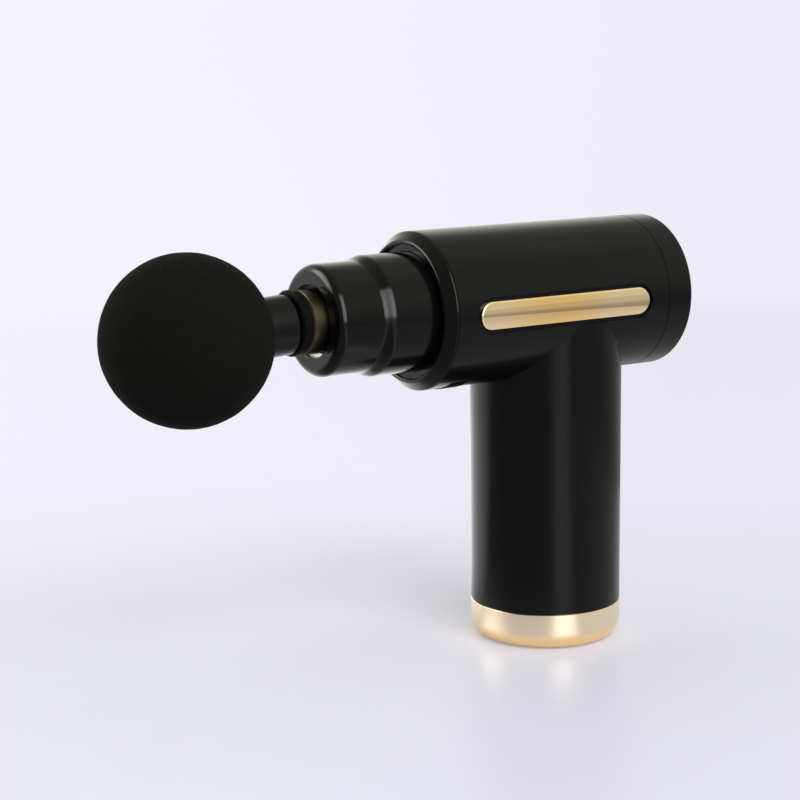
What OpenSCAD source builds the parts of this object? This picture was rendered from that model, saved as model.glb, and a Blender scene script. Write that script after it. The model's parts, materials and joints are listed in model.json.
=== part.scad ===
// Mini massage gun with a T-shaped body, a straight round handle and a foam ball head.
// Frame: the origin is the centre of the flat underside of the base cap, on the handle's axis.
// +Z is up along the handle. The barrel lies along X: the head points to -X, the rear cap to +X.
// At rest the piston stands at the outer end of its stroke and the connecting rod is straight.

/* [Handle] */
// Outer radius of the handle
handle_r = 23.0; // [22.5:0.1:23.1]
// Height of the joint between the base cap and the handle
handle_bottom_z = 11.25; // [9:0.25:13]

/* [Barrel] */
// Outer radius of the barrel
barrel_r = 23.25; // [23.2:0.05:24]
// Height of the barrel's axis
axis_z = 104.5; // [103.5:0.5:110]
// Front end of the barrel shell
barrel_front_x = -48.3; // [-48.6:0.1:-48.1]
// Rear end of the barrel shell
barrel_rear_x = 29.3; // [29:0.1:31]
// Wall thickness of the shell
wall = 2.0; // [1.8:0.1:2.2]

/* [Nose] */
// Radius of the front part of the nose
nose_front_r = 16.07; // [15.5:0.1:16.5]
// Radius of the rear part of the nose
nose_rear_r = 17.44; // [17:0.02:17.5]
// Front face of the nose
nose_front_x = -83.3; // [-84:0.1:-82.5]
// Rounding of the nose's front edge
nose_edge_r = 2.6; // [1:0.1:3]
// Radius of the opening in the nose
nose_hole_r = 10.4; // [10:0.1:11]
// Middle of the step between the nose's two radii
nose_step_x = -67.2; // [-69:0.1:-64]

/* [Stroke] */
// Distance from the motor shaft to the crank pin, half of the stroke
crank_throw = 3.5; // [2.5:0.1:3.5]
// Centre distance of the connecting rod's two eyes
rod_length = 30; // [30:0.5:31]
// Radius of the piston's visible collar
piston_r = 9.1; // [8.8:0.05:9.1]
// Front face of the piston at rest
piston_front_x = -87.4; // [-88:0.1:-87]

/* [Head] */
// Radius of the foam ball
ball_r = 24.1; // [22:0.1:26]
// Centre of the foam ball
ball_x = -122.4; // [-124:0.1:-121]
// Radius of the head's stem
stem_r = 8.5; // [8:0.1:8.8]
// Radius of the rubber ring behind the stem
gasket_r = 9.36; // [9.1:0.02:9.6]
// Width of the rubber ring
gasket_w = 3.4; // [3:0.1:4]
// Angle by which the stem and ball hang below the barrel's axis
head_droop = 3.2; // [0:0.1:3.5]

/* [Side strips] */
// Length of a gold strip
strip_l = 62.2; // [55:0.1:64]
// Height of a gold strip
strip_h = 8.3; // [7:0.1:9]
// Centre of a gold strip along the barrel
strip_x = -9.6; // [-11:0.1:-8]
// Width of the groove around a strip
strip_gap = 1.1; // [0.5:0.1:1.3]

/* [Rear cap] */
// Rear face of the rear cap
cap_rear_x = 38.5; // [38.3:0.1:40]
// Radius of the power button
button_r = 7.5; // [6:0.1:7.5]
// Travel of the power button
button_travel = 0.8; // [0.4:0.1:0.8]

/* [Base cap] */
// Rounding of the base cap's lower edge
base_edge_r = 5.0; // [2:0.1:5.5]

/* [Battery] */
// Radius of one cell
cell_r = 9.1; // [8.9:0.05:9.15]
// Length of one cell
cell_l = 65; // [60:1:65]

/* [Charging port] */
// Length of the port cover along the barrel
cover_l = 5.8; // [5:0.1:6]
// Width of the port cover across the barrel
cover_w = 13; // [11:0.5:13]
// Centre of the charging port along the barrel
port_x = -39.5; // [-39.7:0.1:-39.3]

/* [Hidden] */
$fn = 96;
eps = 0.5;

// Shell bores
handle_bore_r = handle_r - wall;
barrel_bore_r = barrel_r - wall;
edge_cut = 0.2;
base_rim_cut = 0.15;

// Clearances
slip = 0.05;
press = 0.02;

// Front ring
ring_front_x = -51.6;
ring_bore_r = 19.5;
ring_lip_r = 0.8;
ring_floor_x = -50.3;
ring_back_x = -47;
ring_inner_r = nose_rear_r + 0.16;
ring_chamfer_x = barrel_front_x - 0.3;

// Nose
nose_wall_x = nose_front_x + 3.3;
nose_bore_r = 12.1;
nose_step_half = 1.95;
flange_r = barrel_bore_r - 0.35;
flange_back_x = ring_back_x + 2;
nose_screw_ring_r = 19.2;
nose_screw_angles = [45, 135, 225, 315];
screw_r = 1.0;
screw_head_r = 1.9;
screw_head_h = 1.4;

// Side strips
strip_seat_y = barrel_r - 1.1;
strip_proud = 0.15;

// Guide bush
bush_rear_x = -52;

// Piston
socket_r = 6.05;
socket_end_x = -66;
skirt_r = 11.4;
skirt_bore_r = 9.6;
skirt_front_x = -47.5;
skirt_bore_x = -45.8;
skirt_rear_x = -27;

// Crank and connecting rod
crank_pin_x = -crank_throw;
wrist_x = crank_pin_x - rod_length;
shaft_r = 2.5;
crank_pin_r = 2.5;
wrist_pin_r = 2.0;
wrist_pin_half = 5.5;
bearing_r = 5.0;
bearing_h = 4;
rod_h = 5;
rod_big_r = 7.6;
rod_small_r = 4.6;
crank_z0 = 95.0;
crank_z1 = 101.2;
crank_r = 9.5;
weight_r = 15;
shaft_top_z = 98.0;
crank_pin_z0 = 98.4;
crank_pin_z1 = axis_z + 3.2;

// Motor
mount_z0 = 74.5;
mount_z1 = 77.5;
mount_tube_z = 92;
mount_tube_r = 6.2;
ledge_r = 17;
ledge_top_z = 80.5;
mount_screw_ring_r = 18.9;
mount_screw_angles = [60, 180, 300];
bell_r = 16;
bell_z0 = 80.2;
bell_z1 = 94.5;
bell_wall = 1.0;
magnet_count = 12;
magnet_t = 1.4;
tooth_count = 9;
stator_r = 13.2;
stator_z0 = 82.4;
stator_z1 = 90.6;
notch_half = 5.2;

// Battery
cell_ring_r = 10.65;
cell_z = 5.5;
cell_angles = [90, 210, 330];
holder_r = 20.1;
holder_depth = 3.5;
link_t = 0.2;
base_floor = 2.4;
spigot_r = handle_bore_r - slip;
spigot_top_z = 15;

// Head
plug_r = socket_r - slip;
plug_end_x = -68;
oring_xs = [-80, -73];
oring_wire_r = 0.9;
stem_end_x = ball_x - 4;
neck_r = 7.4;
neck_w = 0.65;

// Rear cap, button and control board
cap_edge_r = 1.0;
light_r = 9.2;
light_flange_r = 10.6;
button_proud = 0.6;
board_x = 22.5;
board_t = 1.6;
board_r = 19.5;
boss_ring_r = 16.5;
boss_r = 2.4;
boss_angles = [90, 210, 330];
switch_end_x = 29.5;
board_plug_x = board_x - 1.6;
plug_z = axis_z - 6;

// Charging port
cover_t = 0.9;
cover_gap = 0.2;
cover_corner_r = 1.2;
port_boss_z = axis_z - 19.6;
port_cut_w = 9.3;
port_cut_h = 3.7;
nail_x = -42.6;
nail_z = axis_z - 23.0;
nail_r = 1.7;
usb_w = 8.94;
usb_h = 3.26;
usb_z0 = axis_z - 20.9;
charge_board_z = axis_z - 14.8;
charge_board_t = 1.2;

// Wires
wire_r = 0.6;
wire_sides = 8;

// ---- helpers ----

// Points of an arc about (cx, cy) from angle a0 to angle a1
function arc(cx, cy, r, a0, a1, n = 10) =
    [for (i = [0 : n]) let (a = a0 + (a1 - a0) * i / n) [cx + r * cos(a), cy + r * sin(a)]];

// Smooth rise from 0 to 1
function smooth(t) = t * t * (3 - 2 * t);

// Revolves a profile of [radius, x] points about the barrel's axis
module revolve_x() {
    translate([0, 0, axis_z]) rotate([0, 90, 0]) rotate_extrude($fn = 180) children();
}

// Cylinder on the barrel's axis, or beside it by y and z, from x0 to x1
module rod_x(x0, x1, r, y = 0, z = 0) {
    translate([x0, y, axis_z + z]) rotate([0, 90, 0]) cylinder(r = r, h = x1 - x0);
}

// Vertical cylinder from z0 to z1
module rod_z(z0, z1, r, x = 0, y = 0) {
    translate([x, y, z0]) cylinder(r = r, h = z1 - z0);
}

// Stadium outline of length l and height h
module stadium(l, h) {
    square([l - h, h], center = true);
    for (s = [-1, 1]) translate([s * (l - h) / 2, 0]) circle(d = h, $fn = 64);
}

// Rectangle with round corners
module round_rect(l, w, r) {
    square([l - 2 * r, w], center = true);
    square([l, w - 2 * r], center = true);
    for (sx = [-1, 1], sy = [-1, 1])
        translate([sx * (l / 2 - r), sy * (w / 2 - r)]) circle(r = r, $fn = 32);
}

// Unit vector along v
function unit(v) = v / norm(v);

// Direction of a route's stretch from point i to the next
function stretch(route, i) = unit(route[i + 1] - route[i]);

// Sum of the directions before and after point i, which halves the bend there
function bisector(route, i) = let (last = len(route) - 1)
    i == 0 ? 2 * stretch(route, 0)
    : i == last ? 2 * stretch(route, last - 1)
    : stretch(route, i - 1) + stretch(route, i);

// Offset w widened along the bend at point i, so that the wire keeps its thickness there
function mitre(route, i, w) = (i == 0 || i == len(route) - 1) ? w
    : let (b = unit(stretch(route, i) - stretch(route, i - 1)), c = norm(bisector(route, i)) / 2)
        w + (1 / c - 1) * (w * b) * b;

// Ring of wire_sides points around point i of a route
function wire_ring(route, i) =
    let (t = unit(bisector(route, i)), u = unit(cross(t, [0, 1, 0])), v = cross(t, u))
    [for (k = [0 : wire_sides - 1]) let (a = 360 * k / wire_sides)
        route[i] + mitre(route, i, wire_r * (cos(a) * u + sin(a) * v))];

// Wire swept along a list of points
module wire(route) {
    rings = len(route);
    n = wire_sides;
    polyhedron(
        points = [for (i = [0 : rings - 1]) each wire_ring(route, i)],
        faces = concat(
            [[for (k = [0 : n - 1]) k]],
            [for (i = [0 : rings - 2], k = [0 : n - 1]) let (m = (k + 1) % n)
                [i * n + k, (i + 1) * n + k, (i + 1) * n + m, i * n + m]],
            [[for (k = [n - 1 : -1 : 0]) (rings - 1) * n + k]]));
}

// Places its children at each angle on a circle about the barrel's axis
module ring_x(r, angles) {
    for (a = angles) translate([0, r * cos(a), axis_z + r * sin(a)]) rotate([0, 90, 0]) children();
}

// ---- outer shell ----

module barrel_solid() {
    revolve_x() polygon([[0, barrel_front_x], [barrel_r - edge_cut, barrel_front_x],
        [barrel_r, barrel_front_x + edge_cut], [barrel_r, barrel_rear_x - edge_cut],
        [barrel_r - edge_cut, barrel_rear_x], [0, barrel_rear_x]]);
}

module handle_solid() {
    rotate_extrude($fn = 180) polygon([[0, handle_bottom_z], [handle_r - edge_cut, handle_bottom_z],
        [handle_r, handle_bottom_z + edge_cut], [handle_r, axis_z], [0, axis_z]]);
}

// Stadium block of length l and height h on the side s = -1 or 1, from a strip's flat seat outwards
module strip_block(s, l, h) {
    translate([strip_x, s * (strip_seat_y + 2), axis_z]) rotate([90, 0, 0])
        linear_extrude(height = 4, center = true) stadium(l, h);
}

// Ledge that the motor mount is screwed to
module mount_ledge() {
    difference() {
        rod_z(mount_z1, ledge_top_z, handle_r - wall / 2);
        rod_z(mount_z1 - eps, ledge_top_z + eps, ledge_r);
        for (a = mount_screw_angles)
            rod_z(mount_z1 - eps, ledge_top_z + eps, screw_r,
                mount_screw_ring_r * cos(a), mount_screw_ring_r * sin(a));
        translate([0, -notch_half, mount_z1 - eps]) cube([handle_bore_r - 0.1, 2 * notch_half, 4]);
    }
}

// Thickened pad behind the charging port, with two posts that carry its board
module port_pad() {
    intersection() {
        rod_x(-44.8, -33, barrel_r - wall / 2);
        union() {
            translate([-44.8, -9, axis_z - barrel_r]) cube([11.8, 18, barrel_r - 19.6]);
            for (s = [-1, 1]) translate([port_x - 2, s * 7.6 - 0.8, port_boss_z - 1])
                cube([4, 1.6, charge_board_z - port_boss_z + 1]);
        }
    }
}

// Shallow pocket that the port cover lies in
module cover_pocket() {
    difference() {
        translate([port_x, 0, axis_z - barrel_r - eps]) linear_extrude(height = 4)
            round_rect(cover_l + 2 * cover_gap, cover_w + 2 * cover_gap, cover_corner_r + cover_gap);
        rod_x(-50, -30, barrel_r - cover_t - 0.1);
    }
}

// Fingernail scoop in front of the port cover
module nail_scoop() {
    translate([nail_x, 0, nail_z]) rotate([90, 0, 0])
        cylinder(r = nail_r, h = cover_w, center = true, $fn = 48);
}

module main_housing() {
    color([0.06, 0.06, 0.065]) difference() {
        union() {
            difference() {
                union() {
                    barrel_solid();
                    handle_solid();
                }
                rod_x(barrel_front_x - eps, barrel_rear_x + eps, barrel_bore_r);
                rod_z(handle_bottom_z - eps, axis_z, handle_bore_r);
            }
            mount_ledge();
            port_pad();
        }
        for (s = [-1, 1]) strip_block(s, strip_l + 2 * strip_gap, strip_h + 2 * strip_gap);
        cover_pocket();
        nail_scoop();
        translate([port_x, 0, axis_z - barrel_r - eps]) rotate([0, 0, 90])
            linear_extrude(height = 5) stadium(port_cut_w, port_cut_h);
    }
}

module front_ring() {
    color([0.07, 0.07, 0.075]) difference() {
        revolve_x() polygon(concat(
            [[barrel_bore_r - slip, ring_back_x], [barrel_bore_r - slip, barrel_front_x],
             [barrel_r - edge_cut, barrel_front_x], [barrel_r, barrel_front_x - edge_cut]],
            arc(barrel_r - 0.6, ring_chamfer_x, 0.6, 0, -45, 4),
            arc(ring_bore_r + ring_lip_r, ring_front_x + ring_lip_r, ring_lip_r, -45, -180, 8),
            [[ring_bore_r, ring_floor_x], [ring_inner_r, ring_floor_x], [ring_inner_r, ring_back_x]]));
        ring_x(nose_screw_ring_r, nose_screw_angles)
            translate([0, 0, ring_back_x - 1.5]) cylinder(r = screw_r, h = 2);
    }
}

module nose() {
    n = 12;
    color([0.07, 0.07, 0.075]) difference() {
        revolve_x() polygon(concat(
            [[nose_hole_r, nose_wall_x], [nose_hole_r, nose_front_x + 0.4]],
            arc(nose_hole_r + 0.4, nose_front_x + 0.4, 0.4, 180, 270, 4),
            arc(nose_front_r - nose_edge_r, nose_front_x + nose_edge_r, nose_edge_r, -90, 0, 12),
            [for (i = [0 : n]) [nose_front_r + (nose_rear_r - nose_front_r) * smooth(i / n),
                nose_step_x + nose_step_half * (2 * i / n - 1)]],
            [[nose_rear_r, ring_back_x], [flange_r, ring_back_x], [flange_r, flange_back_x],
             [nose_bore_r, flange_back_x], [nose_bore_r, nose_wall_x]]));
        ring_x(nose_screw_ring_r, nose_screw_angles)
            translate([0, 0, ring_back_x - eps]) cylinder(r = screw_r + 0.1, h = 3);
    }
}

module nose_screws() {
    color("silver") ring_x(nose_screw_ring_r, nose_screw_angles) {
        translate([0, 0, ring_back_x - 1.2]) cylinder(r = screw_r - press, h = 3.2 + eps);
        difference() {
            translate([0, 0, flange_back_x]) cylinder(r = screw_head_r, h = screw_head_h);
            translate([0, 0, flange_back_x + 0.6]) cylinder(r = 0.7, h = 2, $fn = 6);
        }
    }
}

module guide_bush() {
    color([0.8, 0.8, 0.78]) revolve_x() polygon([[piston_r + slip, nose_wall_x + 0.3],
        [piston_r + slip + 0.3, nose_wall_x], [nose_bore_r - press, nose_wall_x],
        [nose_bore_r - press, bush_rear_x], [piston_r + slip + 0.3, bush_rear_x],
        [piston_r + slip, bush_rear_x - 0.3]]);
}

// ---- rear cap, button and control board ----

module rear_cap() {
    color([0.06, 0.06, 0.065]) difference() {
        union() {
            revolve_x() polygon(concat(
                [[light_r, cap_rear_x], [light_r, cap_rear_x - 2.2], [barrel_r - wall, cap_rear_x - 2.2],
                 [barrel_r - wall, barrel_rear_x], [barrel_bore_r - 1.2, barrel_rear_x],
                 [barrel_bore_r - 1.2, barrel_rear_x - 4], [barrel_bore_r - slip, barrel_rear_x - 4],
                 [barrel_bore_r - slip, barrel_rear_x], [barrel_r - edge_cut, barrel_rear_x],
                 [barrel_r, barrel_rear_x + edge_cut]],
                arc(barrel_r - cap_edge_r, cap_rear_x - cap_edge_r, cap_edge_r, 0, 90, 10)));
            ring_x(boss_ring_r, boss_angles)
                translate([0, 0, board_x + board_t])
                    cylinder(r = boss_r, h = cap_rear_x - 2 - board_x - board_t);
        }
        ring_x(boss_ring_r, boss_angles)
            translate([0, 0, board_x]) cylinder(r = screw_r, h = 8);
    }
}

module light_ring() {
    x0 = cap_rear_x - 3.7;
    color([0.85, 0.9, 0.95]) revolve_x() polygon([[button_r + 0.2, x0], [light_flange_r, x0],
        [light_flange_r, cap_rear_x - 2.2], [light_r - press, cap_rear_x - 2.2],
        [light_r - press, cap_rear_x + 0.1], [light_r - 0.3, cap_rear_x + 0.3],
        [button_r + 0.4, cap_rear_x + 0.3], [button_r + 0.2, cap_rear_x + 0.1]]);
}

module power_button() {
    x0 = cap_rear_x - 3.7;
    face_x = cap_rear_x + button_proud;
    stem_x = switch_end_x + button_travel + 0.1;
    color([0.1, 0.1, 0.11]) revolve_x() polygon(concat(
        [[0, stem_x], [2.2, stem_x], [2.2, x0 - 1.6], [button_r + 1.0, x0 - 1.6],
         [button_r + 1.0, x0 - 0.1], [button_r, x0 - 0.1]],
        arc(button_r - 0.5, face_x - 0.5, 0.5, 0, 90, 5),
        [[5.2, face_x], [0, face_x - 0.35]]));
}

module control_board() {
    color([0.05, 0.3, 0.15]) difference() {
        rod_x(board_x, board_x + board_t, board_r);
        translate([board_x - eps, -board_r, axis_z - 2 * board_r])
            cube([4, 2 * board_r, board_r - 1.5 * 3]);
        ring_x(boss_ring_r, boss_angles)
            translate([0, 0, board_x - eps]) cylinder(r = screw_r + 0.15, h = 3);
    }
}

// Box on the control board: its place, size and the side it stands on
module board_box(y, z, w, h, t, rear = false) {
    translate([rear ? board_x + board_t : board_x - t, y - w / 2, axis_z + z - h / 2]) cube([t, w, h]);
}

module board_parts() {
    color([0.15, 0.15, 0.17]) {
        board_box(0, plug_z - axis_z, 12, 5, board_x - board_plug_x);
        board_box(-8.5, 3.5, 6, 6, 1.0);
        board_box(7.5, 4, 7, 7, 1.1);
        board_box(0, 9, 5, 3.2, 1.2);
        for (i = [0 : 3]) board_box(-11 + i * 2.2, -4.5 + i * 0.4, 1.2, 2, 0.6);
        rod_x(board_x - 4.5, board_x, 2.4, 11.5, -3);
        for (a = [0 : 90 : 270]) board_box(8.6 * cos(a + 45), 8.6 * sin(a + 45), 2, 2, 1.2, true);
    }
}

module tact_switch() {
    color([0.2, 0.2, 0.2]) {
        translate([board_x + board_t, -3, axis_z - 3]) cube([3.5, 6, 6]);
        rod_x(board_x + board_t + 3.5, switch_end_x, 1.7);
    }
}

module board_screws() {
    color("silver") ring_x(boss_ring_r, boss_angles) {
        translate([0, 0, board_x - screw_head_h]) cylinder(r = screw_head_r, h = screw_head_h);
        translate([0, 0, board_x - eps]) cylinder(r = screw_r - press, h = 6.5);
    }
}

// ---- gold trim ----

// Strip on the side s = -1 or 1, its face a little proud of the barrel
module side_strip(s) {
    color([0.83, 0.66, 0.33]) intersection() {
        rod_x(strip_x - strip_l, strip_x + strip_l, barrel_r + strip_proud);
        strip_block(s, strip_l, strip_h);
    }
}

module side_strip_left() {
    side_strip(-1);
}

module side_strip_right() {
    side_strip(1);
}

module base_cap() {
    color([0.85, 0.7, 0.42]) rotate_extrude($fn = 180) polygon(concat(
        [[0, base_floor], [0, 0]],
        arc(handle_r - base_edge_r, base_edge_r, base_edge_r, -90, 0, 14),
        [[handle_r, handle_bottom_z - 0.05 - base_rim_cut],
         [handle_r - base_rim_cut, handle_bottom_z - 0.05], [spigot_r, handle_bottom_z - 0.05],
         [spigot_r, spigot_top_z], [spigot_r - 0.75, spigot_top_z],
         [spigot_r - 0.75, base_floor]]));
}

// ---- battery ----

// Place of cell i, 0 to 2
function cell_place(i) = [cell_ring_r * cos(cell_angles[i]), cell_ring_r * sin(cell_angles[i]), cell_z];

module cell(i) {
    color([0.15, 0.35, 0.6]) translate(cell_place(i)) {
        cylinder(r = cell_r, h = cell_l - 0.8);
        cylinder(r = 3.2, h = cell_l);
    }
}

// Plate that joins the cells' ends, from z upwards, larger by gap
module link_plate(z, t, gap = 0) {
    translate([0, 0, z]) linear_extrude(height = t) intersection() {
        polygon([for (i = [0 : 2]) (1.15 + gap / 10) * [cell_place(i)[0], cell_place(i)[1]]]);
        circle(r = cell_ring_r + 2 + gap);
    }
}

// Round plate from z0 to z1 with three pockets from pocket_z0 to pocket_z1 and a seat for a link at link_z
module cell_holder(z0, z1, pocket_z0, pocket_z1, link_z) {
    color([0.12, 0.12, 0.12]) difference() {
        rod_z(z0, z1, holder_r);
        for (i = [0 : 2]) translate([cell_place(i)[0], cell_place(i)[1], 0])
            rod_z(pocket_z0, pocket_z1, cell_r + slip);
        rod_z(z0 - eps, z1 + eps, 1.6);
        link_plate(link_z, link_t, 0.2);
    }
}

module cell_holder_lower() {
    cell_holder(base_floor + 0.1, cell_z + holder_depth, cell_z, cell_z + holder_depth + eps,
        cell_z - link_t);
}

module cell_holder_upper() {
    top = cell_z + cell_l;
    cell_holder(top - holder_depth, top + 1.2, top - holder_depth - eps, top, top);
}

// Nickel plates under and over the cells
module cell_links() {
    color("silver") for (z = [cell_z - link_t, cell_z + cell_l]) link_plate(z, link_t);
}

// ---- motor ----

module motor_mount() {
    color([0.7, 0.7, 0.72]) difference() {
        union() {
            rod_z(mount_z0, mount_z1, handle_bore_r - 0.2);
            rod_z(mount_z1 - eps, mount_tube_z, mount_tube_r);
        }
        rod_z(mount_z0 - eps, mount_tube_z + eps, bearing_r - 0.8);
        rod_z(mount_z0 - eps, mount_z0 + 1 + bearing_h, bearing_r);
        rod_z(mount_tube_z - bearing_h, mount_tube_z + eps, bearing_r);
        for (a = mount_screw_angles)
            rod_z(mount_z0 - eps, mount_z1 + eps, screw_r + 0.1,
                mount_screw_ring_r * cos(a), mount_screw_ring_r * sin(a));
        translate([ledge_r - 0.4, -notch_half, mount_z0 - eps]) cube([6, 2 * notch_half, 4]);
    }
}

module motor_screws() {
    color("silver") for (a = mount_screw_angles)
        translate([mount_screw_ring_r * cos(a), mount_screw_ring_r * sin(a), 0]) {
            rod_z(mount_z0 - eps, 79.8, screw_r - press);
            rod_z(mount_z0 - screw_head_h, mount_z0, screw_head_r);
        }
}

// Bearing ring with a shallow groove that marks its races on both faces
module bearing(z0) {
    difference() {
        rod_z(z0, z0 + bearing_h, bearing_r - press);
        rod_z(z0 - eps, z0 + bearing_h + eps, shaft_r + 0.03);
        for (z = [z0 - eps, z0 + bearing_h - 0.25]) difference() {
            rod_z(z, z + 0.25 + eps, 4.3);
            rod_z(z - eps, z + 1 + eps, 3.3);
        }
    }
}

module motor_bearings() {
    color([0.75, 0.76, 0.78]) {
        bearing(mount_z0 + 1);
        bearing(mount_tube_z - bearing_h);
    }
}

module stator_core() {
    color([0.5, 0.5, 0.52]) translate([0, 0, stator_z0]) linear_extrude(height = stator_z1 - stator_z0)
        difference() {
            union() {
                circle(r = 8.4);
                for (i = [0 : tooth_count - 1]) rotate(i * 360 / tooth_count) {
                    translate([7.5, -1.3]) square([5, 2.6]);
                    intersection() {
                        difference() {
                            circle(r = stator_r);
                            circle(r = 12);
                        }
                        polygon([[0, 0], [20, -5.6], [20, 5.6]]);
                    }
                }
            }
            circle(r = mount_tube_r + press);
        }
}

module stator_windings() {
    color([0.72, 0.4, 0.2]) for (i = [0 : tooth_count - 1]) rotate(i * 360 / tooth_count)
        difference() {
            translate([0, 0, stator_z0 - 1.2]) linear_extrude(height = stator_z1 - stator_z0 + 2.4)
                polygon([[8.8, -2.5], [11.4, -3.2], [11.4, 3.2], [8.8, 2.5]]);
            translate([8, -1.35, stator_z0 - 0.05]) cube([5, 2.7, stator_z1 - stator_z0 + 0.1]);
        }
}

module motor_shaft() {
    color([0.8, 0.8, 0.82]) rod_z(mount_z0 + 0.3, shaft_top_z, shaft_r);
}

module rotor_bell() {
    color([0.55, 0.56, 0.58]) difference() {
        rod_z(bell_z0, bell_z1, bell_r);
        rod_z(bell_z0 - eps, bell_z1 - 1.5, bell_r - bell_wall);
        rod_z(bell_z0, bell_z1 + eps, shaft_r + press);
        for (a = [0 : 60 : 300]) rotate(a) rod_z(bell_z1 - 2, bell_z1 + eps, 2.4, 10);
    }
}

module rotor_magnets() {
    half = 180 / magnet_count - 1.5;
    r = bell_r - bell_wall - press;
    color([0.35, 0.35, 0.37]) for (i = [0 : magnet_count - 1]) rotate(i * 360 / magnet_count)
        translate([0, 0, bell_z0 + 0.6]) linear_extrude(height = 11.4) intersection() {
            difference() {
                circle(r = r);
                circle(r = r - magnet_t);
            }
            polygon([[0, 0], [20, -20 * tan(half)], [20, 20 * tan(half)]]);
        }
}

module crank_disc() {
    color([0.6, 0.6, 0.62]) difference() {
        union() {
            rod_z(crank_z0, crank_z1, crank_r);
            translate([0, 0, crank_z0]) linear_extrude(height = crank_z1 - crank_z0) intersection() {
                circle(r = weight_r);
                polygon([[0, 0], [12, -20], [20, -20], [20, 20], [12, 20]]);
            }
        }
        rod_z(crank_z0 - eps, shaft_top_z + 0.1, shaft_r + press);
        rod_z(crank_pin_z0, crank_z1 + eps, crank_pin_r + press, crank_pin_x);
    }
}

module crank_pin() {
    color([0.8, 0.8, 0.82]) rod_z(crank_pin_z0, crank_pin_z1, crank_pin_r, crank_pin_x);
}

module crank_pin_washer() {
    color("silver") {
        rod_z(crank_pin_z1, crank_pin_z1 + 0.8, 4.2, crank_pin_x);
        rod_z(crank_pin_z1 + 0.8 - 0.2, crank_pin_z1 + 1.9, 2.2, crank_pin_x);
    }
}

// ---- connecting rod and piston ----

module rod_bearing() {
    color([0.75, 0.76, 0.78]) translate([crank_pin_x, 0, 0]) bearing(axis_z - bearing_h / 2);
}

module connecting_rod() {
    z0 = axis_z - rod_h / 2;
    z1 = axis_z + rod_h / 2;
    color([0.65, 0.66, 0.68]) difference() {
        union() {
            rod_z(z0, z1, rod_big_r, crank_pin_x);
            rod_z(z0, z1, rod_small_r, wrist_x);
            translate([wrist_x, -3, z0]) cube([rod_length, 6, rod_h]);
        }
        rod_z(z0 - eps, z1 + eps, bearing_r, crank_pin_x);
        rod_z(z0 - eps, z1 + eps, wrist_pin_r + press, wrist_x);
        for (z = [z0 - eps, z1 - 1]) translate([wrist_x + 7, -1.6, z]) cube([13, 3.2, 1 + eps]);
    }
}

module wrist_pin() {
    color([0.8, 0.8, 0.82]) rod_z(axis_z - wrist_pin_half, axis_z + wrist_pin_half, wrist_pin_r, wrist_x);
}

module piston() {
    color([0.62, 0.52, 0.36]) revolve_x() polygon([
        [socket_r + 0.4, piston_front_x], [piston_r - 0.4, piston_front_x],
        [piston_r, piston_front_x + 0.4], [piston_r, skirt_front_x - 0.3],
        [skirt_r - 0.6, skirt_front_x], [skirt_r, skirt_front_x + 0.6],
        [skirt_r, skirt_rear_x], [skirt_bore_r, skirt_rear_x],
        [skirt_bore_r, skirt_bore_x], [0, skirt_bore_x], [0, socket_end_x],
        [socket_r, socket_end_x], [socket_r, piston_front_x + 0.4]]);
}

// ---- massage head ----

// Lets its children hang by head_droop about the piston's mouth
module drooped() {
    pivot = [piston_front_x, 0, axis_z];
    translate(pivot) rotate([0, -head_droop, 0]) translate(-pivot) children();
}

// Coaxial plug with two grooves, and the drooping stem that carries the ball
module head_stem() {
    front = piston_front_x - gasket_w;
    groove_r = plug_r - 1.8;
    color([0.08, 0.08, 0.085]) union() {
        difference() {
            revolve_x() polygon([[0, front - 2], [plug_r - 0.3, front - 2], [plug_r, front],
                [plug_r, plug_end_x - 0.8], [plug_r - 0.8, plug_end_x], [0, plug_end_x]]);
            for (x = oring_xs) difference() {
                rod_x(x - 1.1, x + 1.1, plug_r + 1);
                rod_x(x - 2, x + 2, groove_r);
            }
        }
        drooped() revolve_x() polygon(concat(
            [[0, stem_end_x], [stem_r - 1, stem_end_x], [stem_r, stem_end_x + 1]],
            arc(stem_r - 0.4, front - neck_w - 0.4, 0.4, 0, 90, 4),
            [[neck_r, front - neck_w], [neck_r - 0.4, front - 0.5], [0, front - 0.5]]));
    }
}

module stem_o_rings() {
    color([0.1, 0.1, 0.1]) for (x = oring_xs) translate([x, 0, axis_z]) rotate([0, 90, 0])
        rotate_extrude() translate([plug_r - oring_wire_r + 0.03, 0]) circle(r = oring_wire_r, $fn = 32);
}

module head_gasket() {
    x0 = piston_front_x - gasket_w;
    color([0.12, 0.12, 0.12]) revolve_x() polygon([[plug_r + slip, x0], [gasket_r - 0.5, x0],
        [gasket_r, x0 + 0.5], [gasket_r, piston_front_x - 0.6], [gasket_r - 0.5, piston_front_x - 0.1],
        [plug_r + slip, piston_front_x - 0.1]]);
}

module head_ball() {
    color([0.05, 0.05, 0.05]) drooped() difference() {
        translate([ball_x, 0, axis_z]) rotate([0, 90, 0]) sphere(r = ball_r, $fn = 128);
        rod_x(stem_end_x - slip, ball_x + 2 * ball_r, stem_r + slip);
    }
}

// ---- charging port ----

// Silicone cover: a curved skin with a shallow plug that reaches into the port
module port_cover() {
    color([0.09, 0.09, 0.09]) {
        intersection() {
            difference() {
                rod_x(-50, -30, barrel_r - 0.05);
                rod_x(-51, -29, barrel_r - cover_t);
            }
            translate([port_x, 0, axis_z - barrel_r - 1]) linear_extrude(height = 5)
                round_rect(cover_l, cover_w, cover_corner_r);
        }
        translate([port_x, 0, axis_z - barrel_r + 0.3]) rotate([0, 0, 90])
            linear_extrude(height = barrel_r - 0.3 - 21.6) stadium(port_cut_w - 0.7, port_cut_h - 0.7);
    }
}

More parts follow.
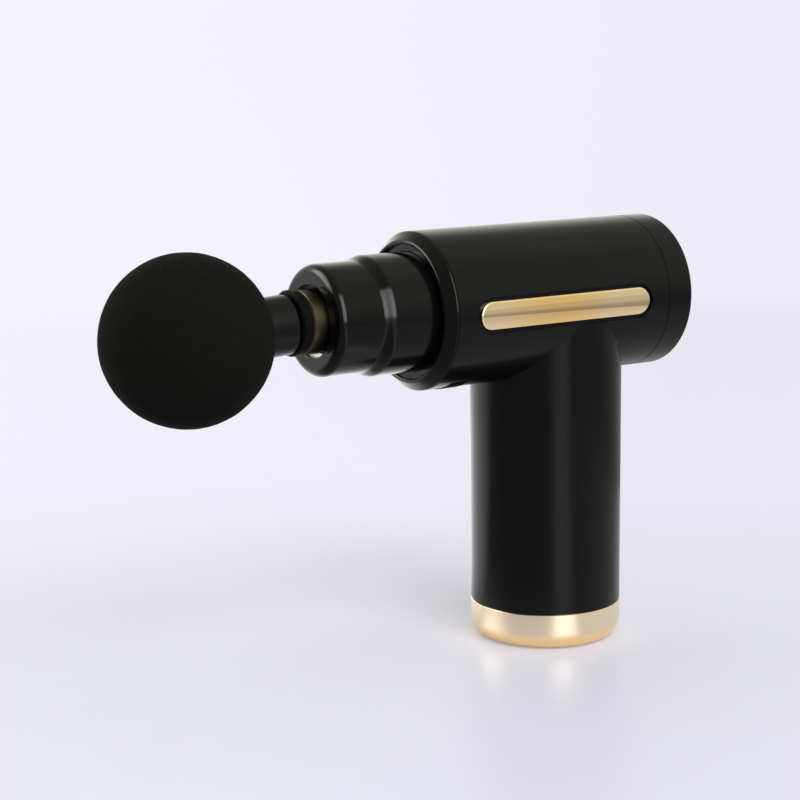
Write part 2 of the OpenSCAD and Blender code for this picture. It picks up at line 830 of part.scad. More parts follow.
module usb_socket() {
    color("silver") translate([port_x, 0, usb_z0]) rotate([0, 0, 90]) {
        difference() {
            linear_extrude(height = charge_board_z - usb_z0) stadium(usb_w, usb_h);
            translate([0, 0, -eps]) linear_extrude(height = 5 + eps) stadium(usb_w - 0.6, usb_h - 0.6);
        }
        translate([-3.3, -0.35, 0.8]) cube([6.6, 0.7, 4.5]);
    }
}

module charge_board() {
    color([0.05, 0.3, 0.15]) {
        translate([port_x - 5, -8.4, charge_board_z]) cube([10, 16.8, charge_board_t]);
        translate([port_x + 2.2, -5, charge_board_z - 1]) cube([2.4, 4, 1.2]);
        translate([port_x + 2.2, 1.5, charge_board_z - 1]) cube([2.4, 3, 1.2]);
    }
}

module charge_leads() {
    z0 = charge_board_z + charge_board_t / 2;
    color([0.6, 0.1, 0.1]) for (d = [0, 2]) {
        y0 = 7.6 - 1.5 * d;
        z = axis_z + 2 + d;
        wire([[port_x + 5, y0, z0], [port_x + 6.5, y0, z0], [-31, 13, axis_z - 11 + d],
            [-22, 18.6, z], [18, 18.6, z], [20.4, 12.5, z], [board_x, 12.5, z]]);
    }
}

module battery_leads() {
    top = cell_z + cell_l + 1.2;
    color([0.55, 0.08, 0.08]) for (s = [-1, 1])
        wire([[12, s * 4.2, top], [12, s * 4.2, top + 1.4], [18.7, s * 4.2, top + 1.4],
            [18.7, s * 4.2, plug_z - 1.3], [19.5, s * 4.2, plug_z], [board_plug_x, s * 4.2, plug_z]]);
}

module motor_leads() {
    color([0.1, 0.1, 0.1]) for (y = [-1.8, 0, 1.8])
        wire([[11, y, stator_z0 - 1.2], [11, y, 78.7], [18.7, y, 78.7], [18.7, y, plug_z - 1.3],
            [19.5, y, plug_z], [board_plug_x, y, plug_z]]);
}

main_housing();
front_ring();
nose();
nose_screws();
guide_bush();
rear_cap();
light_ring();
power_button();
control_board();
board_parts();
tact_switch();
board_screws();
side_strip_left();
side_strip_right();
base_cap();
cell_holder_lower();
cell_holder_upper();
cell(0);  // cell_1
cell(1);  // cell_2
cell(2);  // cell_3
cell_links();
motor_mount();
motor_screws();
motor_bearings();
stator_core();
stator_windings();
motor_shaft();
rotor_bell();
rotor_magnets();
crank_disc();
crank_pin();
crank_pin_washer();
rod_bearing();
connecting_rod();
wrist_pin();
piston();
head_stem();
stem_o_rings();
head_gasket();
head_ball();
port_cover();
usb_socket();
charge_board();
charge_leads();
battery_leads();
motor_leads();
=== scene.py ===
"""Looks for the mini massage gun: materials, refined pieces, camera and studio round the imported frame."""
import json
import math

import bmesh
import bpy
from mathutils import Matrix, Vector, noise


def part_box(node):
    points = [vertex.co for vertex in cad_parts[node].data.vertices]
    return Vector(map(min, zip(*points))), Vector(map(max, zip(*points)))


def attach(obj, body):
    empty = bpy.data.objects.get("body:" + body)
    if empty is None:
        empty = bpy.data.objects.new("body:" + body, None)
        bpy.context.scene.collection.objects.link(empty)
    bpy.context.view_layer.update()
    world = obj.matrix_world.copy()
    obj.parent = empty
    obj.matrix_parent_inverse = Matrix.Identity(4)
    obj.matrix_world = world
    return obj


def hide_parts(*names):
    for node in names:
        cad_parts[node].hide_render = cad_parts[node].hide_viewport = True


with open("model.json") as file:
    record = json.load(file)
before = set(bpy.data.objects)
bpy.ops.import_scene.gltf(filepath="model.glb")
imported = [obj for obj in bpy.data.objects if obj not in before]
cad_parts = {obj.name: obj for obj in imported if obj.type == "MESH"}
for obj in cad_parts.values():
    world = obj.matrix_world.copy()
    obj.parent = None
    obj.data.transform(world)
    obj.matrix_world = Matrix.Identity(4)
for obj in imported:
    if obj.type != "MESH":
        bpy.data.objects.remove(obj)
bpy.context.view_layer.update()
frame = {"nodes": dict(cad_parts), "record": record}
MM = 0.001
SAME_PLACE = 0.001 * MM


# ---- node materials ----

def node_tools(owner):
    """Empties the node tree of a material or world, and returns what adds nodes to it and links them."""
    owner.use_nodes = True
    tree = owner.node_tree
    tree.nodes.clear()

    def add(kind, **values):
        node = tree.nodes.new(kind)
        for key, value in values.items():
            if key in node.inputs:
                node.inputs[key].default_value = value
            else:
                setattr(node, key, value)
        return node

    return add, tree.links.new


def combine(add, link, operation, a, b):
    """Output of a Math node on two sockets or numbers."""
    node = add("ShaderNodeMath", operation=operation)
    for socket, value in zip(node.inputs, (a, b)):
        if isinstance(value, (int, float)):
            socket.default_value = value
        else:
            link(value, socket)
    return node.outputs["Value"]


# Parts of the distance and of the cloud in a drift between two colours
DRIFT_SHARE = 0.8
CLOUD_SHARE = 0.2
# Where the clouds' noise turns from the first colour to the second
CLOUD_RAMP = (0.3, 0.7)
COAT_ROUGHNESS = 0.12
LEAST_ROUGHNESS = 0.02
# Cells per metre of the smudges that make the roughness uneven
SMUDGE_SCALE = 45.0
# A wave texture turns through this many radians for each unit of its scale
WAVE_TURN = 20.0


def drift_share(add, link, place, cloud, axis, middle, distance):
    """A share that grows with the distance from middle along an axis, with some of the cloud in it."""
    parts = add("ShaderNodeSeparateXYZ")
    link(place, parts.inputs["Vector"])
    away = combine(add, link, "SUBTRACT", parts.outputs[axis], middle)
    away = combine(add, link, "ABSOLUTE", away, 0.0)
    away = combine(add, link, "DIVIDE", away, distance)
    away = combine(add, link, "MULTIPLY", away, DRIFT_SHARE)
    cloud = combine(add, link, "MULTIPLY", cloud, CLOUD_SHARE)
    return combine(add, link, "ADD", away, cloud)


def finish_material(name, color, roughness, metallic=0.0, ior=1.5, spread=0.15, grain=4000.0,
                    grain_depth=0.02, rough_spread=0.06, coat=0.0, turned=None, transmission=0.0,
                    specular=0.5, second=None, cloud_scale=90.0, drift=None):
    """A finish with colour variation, uneven roughness and a fine grain, all in object space.

    color is linear RGB, and spread is how far it varies. Or it drifts to the colour second, in clouds of
    cloud_scale cells per metre, and with drift = (axis, place, distance) also away from a place; on the
    base cap's gold the deeper orange at its bottom is painted reflection. grain is the grain's cells per
    metre, and grain_depth its height in millimetres. turned is (axis, the wave's radians per metre, depth
    in mm) for lathe marks.
    """
    material = bpy.data.materials.new(name)
    add, link = node_tools(material)
    out = add("ShaderNodeOutputMaterial")
    shader = add("ShaderNodeBsdfPrincipled", Metallic=metallic, IOR=ior)
    shader.inputs["Coat Weight"].default_value = coat
    shader.inputs["Coat Roughness"].default_value = COAT_ROUGHNESS
    shader.inputs["Transmission Weight"].default_value = transmission
    shader.inputs["Specular IOR Level"].default_value = specular
    link(shader.outputs["BSDF"], out.inputs["Surface"])
    place = add("ShaderNodeTexCoord").outputs["Object"]

    cloud = add("ShaderNodeTexNoise", Scale=cloud_scale, Detail=3.0)
    link(place, cloud.inputs["Vector"])
    ramp = add("ShaderNodeValToRGB")
    dark = color if second else [c * (1 - spread) for c in color]
    light = second if second else [min(1.0, c * (1 + spread)) for c in color]
    for element, shade, position in zip(ramp.color_ramp.elements, (dark, light), CLOUD_RAMP):
        element.color = (*shade, 1)
        element.position = position
    share = cloud.outputs["Fac"]
    if drift:
        share = drift_share(add, link, place, share, *drift)
    link(share, ramp.inputs["Fac"])
    link(ramp.outputs["Color"], shader.inputs["Base Color"])

    smudge = add("ShaderNodeTexNoise", Scale=SMUDGE_SCALE, Detail=5.0)
    link(place, smudge.inputs["Vector"])
    rough = add("ShaderNodeMapRange")
    rough.inputs["To Min"].default_value = max(LEAST_ROUGHNESS, roughness - rough_spread)
    rough.inputs["To Max"].default_value = roughness + rough_spread
    link(smudge.outputs["Fac"], rough.inputs["Value"])
    link(rough.outputs["Result"], shader.inputs["Roughness"])

    fine = add("ShaderNodeTexNoise", Scale=grain, Detail=2.0)
    link(place, fine.inputs["Vector"])
    bump = add("ShaderNodeBump", Strength=1.0, Distance=grain_depth * MM)
    link(fine.outputs["Fac"], bump.inputs["Height"])
    last = bump
    if turned:
        axis, turn, depth = turned
        wave = add("ShaderNodeTexWave", Scale=turn / WAVE_TURN, Distortion=0.6, Detail=1.0)
        wave.bands_direction = axis
        link(place, wave.inputs["Vector"])
        marks = add("ShaderNodeBump", Strength=1.0, Distance=depth * MM)
        link(wave.outputs["Fac"], marks.inputs["Height"])
        link(bump.outputs["Normal"], marks.inputs["Normal"])
        last = marks
    link(last.outputs["Normal"], shader.inputs["Normal"])
    return material


SHELL_BLACK = dict(color=(0.0019, 0.0019, 0.0018), roughness=0.2, ior=1.255, grain=5200.0,
                   grain_depth=0.002, rough_spread=0.03)
FINISHES = {
    "housing_black": SHELL_BLACK,
    "cap_black": SHELL_BLACK,
    "nose_black": dict(color=(0.0019, 0.0019, 0.0018), roughness=0.16, ior=1.265, grain=4200.0,
                       grain_depth=0.0015, rough_spread=0.03),
    "button_black": dict(color=(0.012, 0.012, 0.013), roughness=0.33, grain=3500.0, grain_depth=0.004),
    "light_guide": dict(color=(0.72, 0.76, 0.8), roughness=0.3, transmission=0.35, grain=1500.0,
                        grain_depth=0.003),
    "gold_polished": dict(color=(0.96, 0.64, 0.26), second=(0.93, 0.72, 0.42), roughness=0.04, metallic=1.0,
                          rough_spread=0.015, cloud_scale=35.0, grain=900.0, grain_depth=0.001,
                          drift=("X", -0.013, 0.026)),
    # The base cap's gold deepens to orange towards its bottom: painted reflection of the gold's own light
    # bounced back from the table.
    "gold_satin": dict(color=(0.96, 0.7, 0.32), second=(0.9, 0.74, 0.52), roughness=0.22, metallic=1.0,
                       rough_spread=0.04, grain=7000.0, grain_depth=0.002, drift=("Z", 0.001, 0.006)),
    "stem_black": dict(color=(0.0026, 0.0026, 0.0026), roughness=0.3, ior=1.24, grain=3000.0,
                       grain_depth=0.005),
    "gasket_rubber": dict(color=(0.0018, 0.0018, 0.0018), roughness=0.5, ior=1.13, grain=2600.0,
                          grain_depth=0.02, spread=0.3),
    "seal_rubber": dict(color=(0.012, 0.012, 0.012), roughness=0.5, grain=2600.0, grain_depth=0.01,
                        spread=0.3),
    "cover_silicone": dict(color=(0.0025, 0.0025, 0.0025), roughness=0.6, ior=1.08, grain=3200.0,
                           grain_depth=0.008, specular=0.1),
    "piston_bronze": dict(color=(0.082, 0.068, 0.042), roughness=0.34, metallic=1.0, spread=0.1,
                          turned=("X", 9000.0, 0.004)),
    "bush_steel": dict(color=(0.75, 0.74, 0.72), roughness=0.14, metallic=1.0, spread=0.05,
                       turned=("X", 7000.0, 0.003)),
    "steel_screws": dict(color=(0.55, 0.55, 0.56), roughness=0.3, metallic=1.0, spread=0.1),
    "bearing_steel": dict(color=(0.62, 0.63, 0.64), roughness=0.18, metallic=1.0, spread=0.06),
    "bell_steel": dict(color=(0.36, 0.37, 0.39), roughness=0.3, metallic=1.0, spread=0.08,
                       turned=("Z", 6000.0, 0.004)),
    "lamination_steel": dict(color=(0.25, 0.25, 0.26), roughness=0.45, metallic=1.0, spread=0.2,
                             turned=("Z", 2000.0, 0.05)),
    "crank_steel": dict(color=(0.45, 0.45, 0.46), roughness=0.32, metallic=1.0,
                        turned=("Z", 5000.0, 0.004)),
    "magnets": dict(color=(0.38, 0.38, 0.4), roughness=0.28, metallic=1.0, spread=0.1),
    "copper_wire": dict(color=(0.6, 0.25, 0.1), roughness=0.32, metallic=1.0, spread=0.25,
                        turned=("Z", 2600.0, 0.12)),
    "nickel": dict(color=(0.62, 0.6, 0.55), roughness=0.3, metallic=1.0, spread=0.12),
    "cast_aluminium": dict(color=(0.56, 0.56, 0.57), roughness=0.4, metallic=1.0,
                           turned=("Z", 5000.0, 0.006)),
    "rod_aluminium": dict(color=(0.54, 0.55, 0.56), roughness=0.36, metallic=1.0, spread=0.1),
    "socket_steel": dict(color=(0.62, 0.62, 0.63), roughness=0.22, metallic=1.0, spread=0.08),
    "circuit_board": dict(color=(0.012, 0.12, 0.05), roughness=0.3, coat=0.4, spread=0.35, grain=1800.0),
    "board_parts": dict(color=(0.02, 0.02, 0.022), roughness=0.45, spread=0.4),
    "holder_plastic": dict(color=(0.025, 0.025, 0.027), roughness=0.5, spread=0.2),
    "cell_sleeve": dict(color=(0.03, 0.15, 0.38), roughness=0.25, coat=0.5, spread=0.12, grain=700.0),
    "lead_red": dict(color=(0.35, 0.02, 0.02), roughness=0.4, spread=0.15),
    "lead_black": dict(color=(0.02, 0.02, 0.02), roughness=0.42, spread=0.2),
    "foam_black": dict(color=(0.004, 0.004, 0.0034), roughness=0.95, specular=0.06, spread=0.6,
                       cloud_scale=3000.0, grain=3600.0, grain_depth=0.3),
}
MATERIALS = {name: finish_material(name, **values) for name, values in FINISHES.items()}

for entry in frame["record"]["subparts"]:
    node = frame["nodes"][entry["node"]]
    node.data.materials.clear()
    node.data.materials.append(MATERIALS[entry["material_slot"]])


# ---- pieces ----

def make_piece(name, points, faces, slot, body, smooth_angle=35):
    """A mesh object with its slot's material, which rides on a body."""
    mesh = bpy.data.meshes.new(name)
    mesh.from_pydata(points, [], faces)
    mesh.validate()
    mesh.shade_smooth()
    mesh.set_sharp_from_angle(angle=math.radians(smooth_angle))
    mesh.materials.append(MATERIALS[slot])
    piece = bpy.data.objects.new(name, mesh)
    bpy.context.scene.collection.objects.link(piece)
    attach(piece, body)
    return piece


def ring_faces(rings, count):
    """Quads that join each closed ring of count points to the next one."""
    faces = []
    for i in range(rings - 1):
        for k in range(count):
            m = (k + 1) % count
            faces.append((i * count + k, i * count + m, (i + 1) * count + m, (i + 1) * count + k))
    return faces


def merge_points(mesh):
    """Joins points that coincide, and turns the faces outwards."""
    work = bmesh.new()
    work.from_mesh(mesh)
    bmesh.ops.remove_doubles(work, verts=work.verts, dist=SAME_PLACE)
    bmesh.ops.recalc_face_normals(work, faces=work.faces)
    work.to_mesh(mesh)
    work.free()


def quarter(steps):
    """Shares of (1 - cos, sin) along a quarter circle."""
    angles = [math.pi / 2 * i / steps for i in range(steps + 1)]
    return [(1 - math.cos(a), math.sin(a)) for a in angles]


# The foam's skin: noise of (cells per metre, height in mm), and how far it is drawn in, in mm
FOAM_NOISE = [(1150.0, 0.05), (480.0, 0.06), (90.0, 0.08)]
FOAM_INSET = 0.12


def foam_ball():
    """The head's ball: a drooping ball of closed-cell foam, with its skin pulled in round the stem."""
    low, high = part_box("head_ball")
    stem_low, stem_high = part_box("head_stem")
    piston_low, piston_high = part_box("piston")
    radius = (high[1] - low[1]) / 2
    centre = Vector((low[0] + radius, 0, (low[2] + high[2]) / 2))
    mouth = Vector((piston_low[0], 0, (piston_low[2] + piston_high[2]) / 2))
    axis = (mouth - centre).normalized()
    side = Vector((0, 1, 0))
    across = axis.cross(side)
    stem_gap = 0.05 * MM
    bore = (stem_high[1] - stem_low[1]) / 2 + stem_gap
    bore_floor = -4.1 * MM
    lip = 0.8 * MM
    lip_depth = 3 * MM
    lip_steps = 6
    skin = 0.58 * MM
    # The lip's circle touches the ball inside and the bore outside
    lip_along = math.sqrt((radius - lip) ** 2 - (bore + lip) ** 2)
    lip_angle = math.atan2(bore + lip, lip_along)
    steps = round(radius * (math.pi - lip_angle) / skin)
    profile = []
    for i in range(1, steps + 1):
        a = math.pi - (math.pi - lip_angle) * i / steps
        profile.append((radius * math.cos(a), radius * math.sin(a), 1.0))
    for i in range(1, lip_steps + 1):
        a = lip_angle + (-math.pi / 2 - lip_angle) * i / lip_steps
        profile.append((lip_along + lip * math.cos(a), bore + lip + lip * math.sin(a), 1 - i / lip_steps))
    profile.append((lip_along - lip_depth, bore, 0.0))
    profile.append((bore_floor, bore, 0.0))
    sides = 260
    smooth_angle = 80
    points = []
    for along, out, share in profile:
        for k in range(sides):
            a = math.tau * k / sides
            ray = out * (math.cos(a) * side + math.sin(a) * across) + along * axis
            grain = sum(noise.noise(ray * cells) * height for cells, height in FOAM_NOISE)
            points.append(centre + ray + ray.normalized() * (grain - FOAM_INSET) * MM * share)
    faces = ring_faces(len(profile), sides)
    last = len(points)
    points += [centre - axis * radius, centre + axis * bore_floor]
    faces += [(last, (k + 1) % sides, k) for k in range(sides)]
    inner = (len(profile) - 1) * sides
    faces += [(last + 1, inner + k, inner + (k + 1) % sides) for k in range(sides)]
    ball = make_piece("foam_ball", points, faces, "foam_black", "head", smooth_angle)
    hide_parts("head_ball")


def gold_strip(name, node, s):
    """A stadium-shaped bar with a rounded edge, curved like the barrel, on the side s = -1 or 1."""
    low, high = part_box(node)
    half_height = (high[2] - low[2]) / 2
    half_straight = (high[0] - low[0]) / 2 - half_height
    centre_x, centre_z = (low[0] + high[0]) / 2, (low[2] + high[2]) / 2
    face_r = max(abs(low[1]), abs(high[1]))
    seat = min(abs(low[1]), abs(high[1]))
    edge = 0.5 * MM
    arc_steps = 28
    straight_steps = 48
    edge_steps = 7
    inner_steps = 14

    def outline(inset):
        r = half_height - inset
        ring = []
        for end in (1, -1):
            for i in range(arc_steps):
                a = math.pi * (i / arc_steps - 0.5)
                ring.append((end * (half_straight + r * math.cos(a)), end * r * math.sin(a)))
            for i in range(straight_steps):
                ring.append((end * half_straight * (1 - 2 * i / straight_steps), end * r))
        return ring

    # (inset from the outline, drop below the bar's face), from the seat up over the rounded edge
    levels = [(0.0, None), (0.0, edge)]
    levels += [(edge * back, edge * (1 - up)) for back, up in quarter(edge_steps)[1:]]
    levels += [(edge + (half_height - edge) * i / inner_steps, 0.0) for i in range(1, inner_steps + 1)]
    points = []
    for inset, drop in levels:
        for x, z in outline(inset):
            y = seat if drop is None else math.sqrt((face_r - drop) ** 2 - z ** 2)
            points.append((centre_x + x, s * y, centre_z + z))
    count = 2 * (arc_steps + straight_steps)
    faces = ring_faces(len(levels), count)
    faces.append(list(range(count))[::-1])
    if s < 0:
        faces = [face[::-1] for face in faces]
    strip = make_piece(name, points, faces, "gold_polished", "housing")
    merge_points(strip.data)
    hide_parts(node)


def cover_skin():
    """The port cover's matt silicone skin, which lies on the barrel and is thickest at its front edge."""
    low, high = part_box("port_cover")
    barrel_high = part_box("main_housing")[1]
    radius = barrel_high[1]
    axis_z = barrel_high[2] - radius
    front = low[0] - 0.6 * MM
    rear = high[0] - 0.2 * MM
    half_width = 12 * MM
    half_angle = half_width / radius
    gap = 0.02 * MM
    skin = 0.12 * MM
    lip = 0.12 * MM
    steps = 24
    across = 60
    end_power = 8
    side_power = 12
    smooth_angle = 50
    points = []
    for i in range(steps + 1):
        u = i / steps
        end = math.sqrt(1 - (2 * u - 1) ** end_power)
        for side in (1, -1):
            for k in range(across + 1):
                v = side * (2 * k / across - 1)
                rim = end * math.sqrt(1 - v ** side_power)
                r = radius + gap + (rim * (skin + lip * (1 - u) ** 3) if side > 0 else 0)
                angle = v * half_angle
                x = front + (rear - front) * u
                points.append((x, r * math.sin(angle), axis_z - r * math.cos(angle)))
    count = 2 * (across + 1)
    faces = ring_faces(steps + 1, count)
    faces += [list(range(count))[::-1], [steps * count + k for k in range(count)]]
    skin_piece = make_piece("port_cover_skin", points, faces, "cover_silicone", "cover", smooth_angle)
    merge_points(skin_piece.data)


foam_ball()
gold_strip("gold_strip_left", "side_strip_left", -1 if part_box("side_strip_left")[0][1] < 0 else 1)
gold_strip("gold_strip_right", "side_strip_right", -1 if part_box("side_strip_right")[0][1] < 0 else 1)
cover_skin()


# ---- studio ----

def area_light(name, place, target, size, power):
    """A rectangular softbox at place that faces target."""
    data = bpy.data.lights.new(name, "AREA")
    data.shape = "RECTANGLE"
    data.size, data.size_y = size
    data.energy = power
    light = bpy.data.objects.new(name, data)
    bpy.context.scene.collection.objects.link(light)
    light.location = place
    light.visible_camera = False
    light.rotation_euler = (Vector(target) - Vector(place)).to_track_quat("-Z", "Y").to_euler()


def make_camera(place, azimuth, elevation, roll, lens):
    """Camera turned by azimuth (0 looks along +Y), elevation (above the object) and roll, in degrees."""
    a, e, r = (math.radians(v) for v in (azimuth, elevation, roll))
    right = Vector((math.cos(a), math.sin(a), 0))
    back = Vector((math.sin(a) * math.cos(e), -math.cos(a) * math.cos(e), math.sin(e)))
    up = back.cross(right)
    cam_x = math.cos(r) * right + math.sin(r) * up
    cam_y = -math.sin(r) * right + math.cos(r) * up
    data = bpy.data.cameras.new("camera")
    data.lens = lens
    data.sensor_width = 36.0
    data.clip_start = 0.01
    camera = bpy.data.objects.new("camera", data)
    bpy.context.scene.collection.objects.link(camera)
    camera.matrix_world = Matrix.Translation(place) @ Matrix((cam_x, cam_y, back)).transposed().to_4x4()
    bpy.context.scene.camera = camera


# The photo's view: where the camera stands, how it is turned in degrees, and its lens in mm
CAMERA_PLACE = (-0.37058, -0.47902, 0.18268)
CAMERA_AZIMUTH = -33.51
CAMERA_ELEVATION = 10.249
CAMERA_ROLL = -0.643
CAMERA_LENS = 90.23
make_camera(CAMERA_PLACE, CAMERA_AZIMUTH, CAMERA_ELEVATION, CAMERA_ROLL, CAMERA_LENS)

# Directions in the studio are (azimuth from +X, elevation), in degrees.
LEFT_OF_VIEW = (146.5, 0)
RIGHT_WALL = (0.838, 0.83, 0.925)
LEFT_WALL = (0.905, 0.895, 0.995)
# The light all round at table height, in the table's reflection and in the room: a level for the table,
# and lobes of (azimuth, outer and inner half width, brightness) on top of it: the bright side behind,
# a softbox and the right side of the room
RING_LEVEL = 0.34
RING_LOBES = [(100, 46, 28, 1.2), (-103, 17, 4, 1.12), (-20, 80, 35, 0.3)]
# The room above the table: its level, its share of the ring's lobes, and lobes of (direction, outer and
# inner half width, brightness) for the soft light from the right, from overhead and from behind
ROOM_LEVEL = 0.42
ROOM_SHARE = 0.8
ROOM_LOBES = [((-38, 45), 45, 12, 0.3), ((0, 90), 50, 10, 0.2), ((60, 10), 32, 10, 0.75)]
ROOM_COLOUR = (1.0, 1.0, 0.9)
# Small bright lamps that only show as glints: the one on the left, and the narrow one in front,
# (azimuth, outer and inner half width, brightness), which fades from 1 to 0 between two sines of elevation
LEFT_LAMP = ((143, 26), 28, 9, 9.0)
FRONT_LAMP = (-100, 7, 2, 5.0)
FRONT_LAMP_TOP = (0.6, 0.74, 1, 0)
# The table is brighter near the object, and ends on the right along a line, beyond which it is darker
# and then brighter again:
# (start, end, first, last) over the distance from the middle, and over the distance towards the edge
NEAR_TABLE = (0.5, 0.2, 0.88, 1.12)
TABLE_EDGE = (15, 0)
TABLE_STEP = (0.199, 0.211, 1.05, 0.6)
TABLE_BEYOND = (0.211, 0.5, 1.0, 1.65)
# Share of the wall's own light in the table, over the distance towards the back
TOWARDS_BACK = (56.5, 0)
FLOOR_GLOW = (-0.05, 0.22, 0.2, 0.8)
# The same over the distance from the middle, so that the table has no end
FLOOR_FADE = (0.15, 0.95, 0, 1)
# Where the wall has its two colours, as the sine of the angle to the right and left
WALL_HALF_WIDTH = 0.22
# The table's uneven light shows in reflections only this far from the middle
REFLECTED_TABLE = (0.02, 0.12, 0, 1)
REFLECTED_COLOUR = (0.97, 0.96, 1.0)
# The ring's light in the room above fades out between these sines of the elevation
RING_BAND = (0.85, 0.45, 0, ROOM_SHARE)
PAPER_COLOUR = (0.565, 0.565, 0.675)
PAPER_ROUGHNESS = (0.35, 0.45)
FLOOR_SIDES = 96
FLOOR_RADIUS = 12.0
# A large softbox in front, higher than the camera: place, target, size in metres and power in watts
SOFTBOX = ((-0.16, -1.12, 0.7), (-0.06, 0, 0.1), (0.9, 1.2), 21)


def direction(azimuth, elevation):
    """Unit vector from degrees."""
    a, e = math.radians(azimuth), math.radians(elevation)
    return (math.cos(a) * math.cos(e), math.sin(a) * math.cos(e), math.sin(e))


def along(add, link, vector, towards):
    """How far a vector reaches along a direction of (azimuth, elevation)."""
    dot = add("ShaderNodeVectorMath", operation="DOT_PRODUCT")
    dot.inputs[1].default_value = direction(*towards)
    link(vector, dot.inputs[0])
    return dot.outputs["Value"]


def wall_colour(add, link, vector):
    """The pale wall's colour seen along a direction: a little lighter to the left."""
    share = add("ShaderNodeMapRange")
    share.inputs["From Min"].default_value = -WALL_HALF_WIDTH
    share.inputs["From Max"].default_value = WALL_HALF_WIDTH
    link(along(add, link, vector, LEFT_OF_VIEW), share.inputs["Value"])
    ramp = add("ShaderNodeValToRGB")
    ramp.color_ramp.elements[0].color = (*RIGHT_WALL, 1)
    ramp.color_ramp.elements[1].color = (*LEFT_WALL, 1)
    link(share.outputs["Result"], ramp.inputs["Fac"])
    return ramp.outputs["Color"]


def fade_over(add, link, value, start, end, first, last):
    """A value that goes smoothly from first to last as value goes from start to end."""
    fade = add("ShaderNodeMapRange", interpolation_type="SMOOTHSTEP")
    for socket, number in (("From Min", start), ("From Max", end), ("To Min", first), ("To Max", last)):
        fade.inputs[socket].default_value = number
    link(value, fade.inputs["Value"])
    return fade.outputs["Result"]


def lobe(add, link, vector, towards, outer, inner, brightness):
    """Brightness within the inner half width of a direction, which fades out at the outer one."""
    start = math.cos(math.radians(outer))
    end = math.cos(math.radians(inner))
    return fade_over(add, link, along(add, link, vector, towards), start, end, 0, brightness)


def azimuth_lobes(add, link, vector, lobes):
    """Sum of lobes of (azimuth, outer and inner half width, brightness), by the azimuth of a vector."""
    flat = add("ShaderNodeVectorMath", operation="MULTIPLY")
    flat.inputs[1].default_value = (1, 1, 0)
    link(vector, flat.inputs[0])
    level_way = add("ShaderNodeVectorMath", operation="NORMALIZE")
    link(flat.outputs["Vector"], level_way.inputs[0])
    total = 0.0
    for azimuth, outer, inner, brightness in lobes:
        part = lobe(add, link, level_way.outputs["Vector"], (azimuth, 0), outer, inner, brightness)
        total = combine(add, link, "ADD", total, part)
    return total


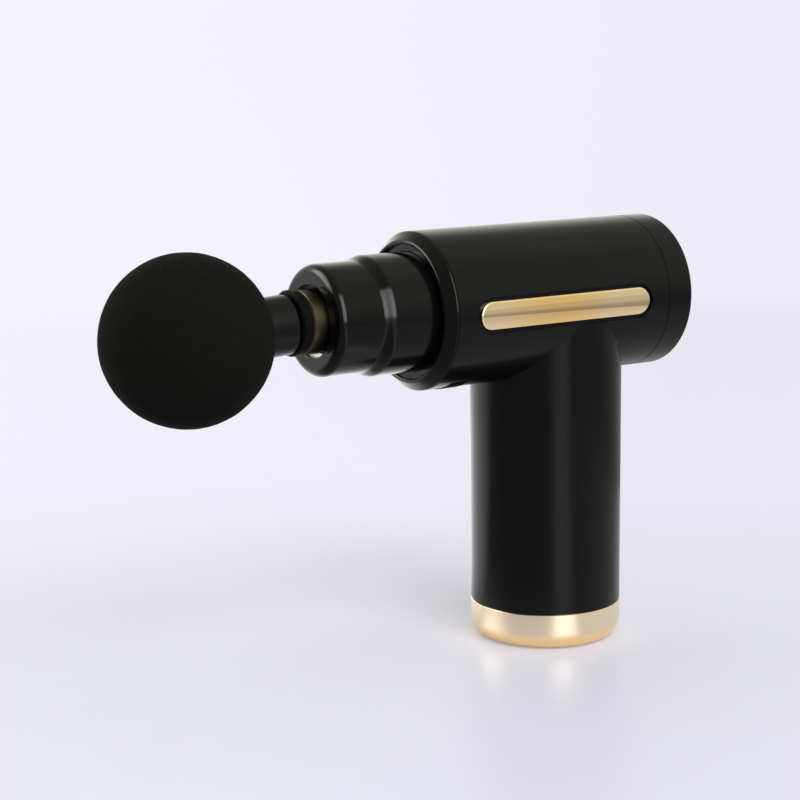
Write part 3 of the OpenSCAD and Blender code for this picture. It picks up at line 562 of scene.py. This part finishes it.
def make_floor():
    """A wide pale disc with a soft gloss, which fades into the wall's colour away from the object."""
    mesh = bpy.data.meshes.new("floor")
    angles = [math.tau * i / FLOOR_SIDES for i in range(FLOOR_SIDES)]
    points = [(FLOOR_RADIUS * math.cos(a), FLOOR_RADIUS * math.sin(a), 0) for a in angles]
    mesh.from_pydata(points, [], [list(range(FLOOR_SIDES))])
    floor = bpy.data.objects.new("floor", mesh)
    bpy.context.scene.collection.objects.link(floor)
    material = bpy.data.materials.new("floor_paper")
    add, link = node_tools(material)
    out = add("ShaderNodeOutputMaterial")
    place = add("ShaderNodeTexCoord").outputs["Object"]
    paper = add("ShaderNodeBsdfPrincipled", IOR=1.34)
    grain = add("ShaderNodeTexNoise", Scale=60.0, Detail=4.0)
    link(place, grain.inputs["Vector"])
    rough = add("ShaderNodeMapRange")
    rough.inputs["To Min"].default_value = PAPER_ROUGHNESS[0]
    rough.inputs["To Max"].default_value = PAPER_ROUGHNESS[1]
    link(grain.outputs["Fac"], rough.inputs["Value"])
    link(rough.outputs["Result"], paper.inputs["Roughness"])
    paper.inputs["Base Color"].default_value = (*PAPER_COLOUR, 1)
    away = add("ShaderNodeVectorMath", operation="NORMALIZE")
    link(place, away.inputs[0])
    glow = add("ShaderNodeEmission")
    link(wall_colour(add, link, away.outputs["Vector"]), glow.inputs["Color"])
    distance = add("ShaderNodeVectorMath", operation="LENGTH")
    link(place, distance.inputs[0])
    fade = fade_over(add, link, distance.outputs["Value"], *FLOOR_FADE)
    glow_share = fade_over(add, link, along(add, link, place, TOWARDS_BACK), *FLOOR_GLOW)
    far = add("ShaderNodeMixShader")
    link(combine(add, link, "MAXIMUM", glow_share, fade), far.inputs["Fac"])
    link(paper.outputs["BSDF"], far.inputs[1])
    link(glow.outputs["Emission"], far.inputs[2])
    # In reflections the table is lit unevenly, by the ring's lobes
    dim = add("ShaderNodeEmission", Color=(*REFLECTED_COLOUR, 1))
    level = combine(add, link, "ADD", azimuth_lobes(add, link, place, RING_LOBES), RING_LEVEL)
    near_level = fade_over(add, link, distance.outputs["Value"], *NEAR_TABLE)
    level = combine(add, link, "MULTIPLY", level, near_level)
    edge = along(add, link, place, TABLE_EDGE)
    for change in (TABLE_STEP, TABLE_BEYOND):
        level = combine(add, link, "MULTIPLY", level, fade_over(add, link, edge, *change))
    link(level, dim.inputs["Strength"])
    ray = add("ShaderNodeLightPath")
    beyond = fade_over(add, link, distance.outputs["Value"], *REFLECTED_TABLE)
    reflected = combine(add, link, "MULTIPLY", ray.outputs["Is Glossy Ray"], beyond)
    seen = add("ShaderNodeMixShader")
    link(reflected, seen.inputs["Fac"])
    link(far.outputs["Shader"], seen.inputs[1])
    link(dim.outputs["Emission"], seen.inputs[2])
    link(seen.outputs["Shader"], out.inputs["Surface"])
    mesh.materials.append(material)


def make_world():
    """A pale wall all round for the camera, and a studio with a bright side behind for everything else."""
    world = bpy.data.worlds.new("studio")
    bpy.context.scene.world = world
    add, link = node_tools(world)
    out = add("ShaderNodeOutputWorld")
    place = add("ShaderNodeTexCoord").outputs["Generated"]
    wall = add("ShaderNodeBackground")
    link(wall_colour(add, link, place), wall.inputs["Color"])
    height = add("ShaderNodeSeparateXYZ")
    link(place, height.inputs["Vector"])
    band = fade_over(add, link, height.outputs["Z"], *RING_BAND)
    ray = add("ShaderNodeLightPath")
    lamp = azimuth_lobes(add, link, place, [FRONT_LAMP])
    lamp = combine(add, link, "MULTIPLY", lamp, fade_over(add, link, height.outputs["Z"], *FRONT_LAMP_TOP))
    lamps = combine(add, link, "ADD", lamp, lobe(add, link, place, *LEFT_LAMP))
    lamps = combine(add, link, "MULTIPLY", lamps, ray.outputs["Is Glossy Ray"])
    room = combine(add, link, "MULTIPLY", azimuth_lobes(add, link, place, RING_LOBES), band)
    room = combine(add, link, "ADD", room, lamps)
    for way in ROOM_LOBES:
        room = combine(add, link, "ADD", room, lobe(add, link, place, *way))
    level = combine(add, link, "ADD", room, ROOM_LEVEL)
    studio = add("ShaderNodeBackground", Color=(*ROOM_COLOUR, 1))
    link(level, studio.inputs["Strength"])
    seen = add("ShaderNodeMixShader")
    link(ray.outputs["Is Camera Ray"], seen.inputs["Fac"])
    link(studio.outputs["Background"], seen.inputs[1])
    link(wall.outputs["Background"], seen.inputs[2])
    link(seen.outputs["Shader"], out.inputs["Surface"])


make_floor()
make_world()

area_light("softbox", *SOFTBOX)

bpy.context.scene.view_settings.view_transform = "Standard"
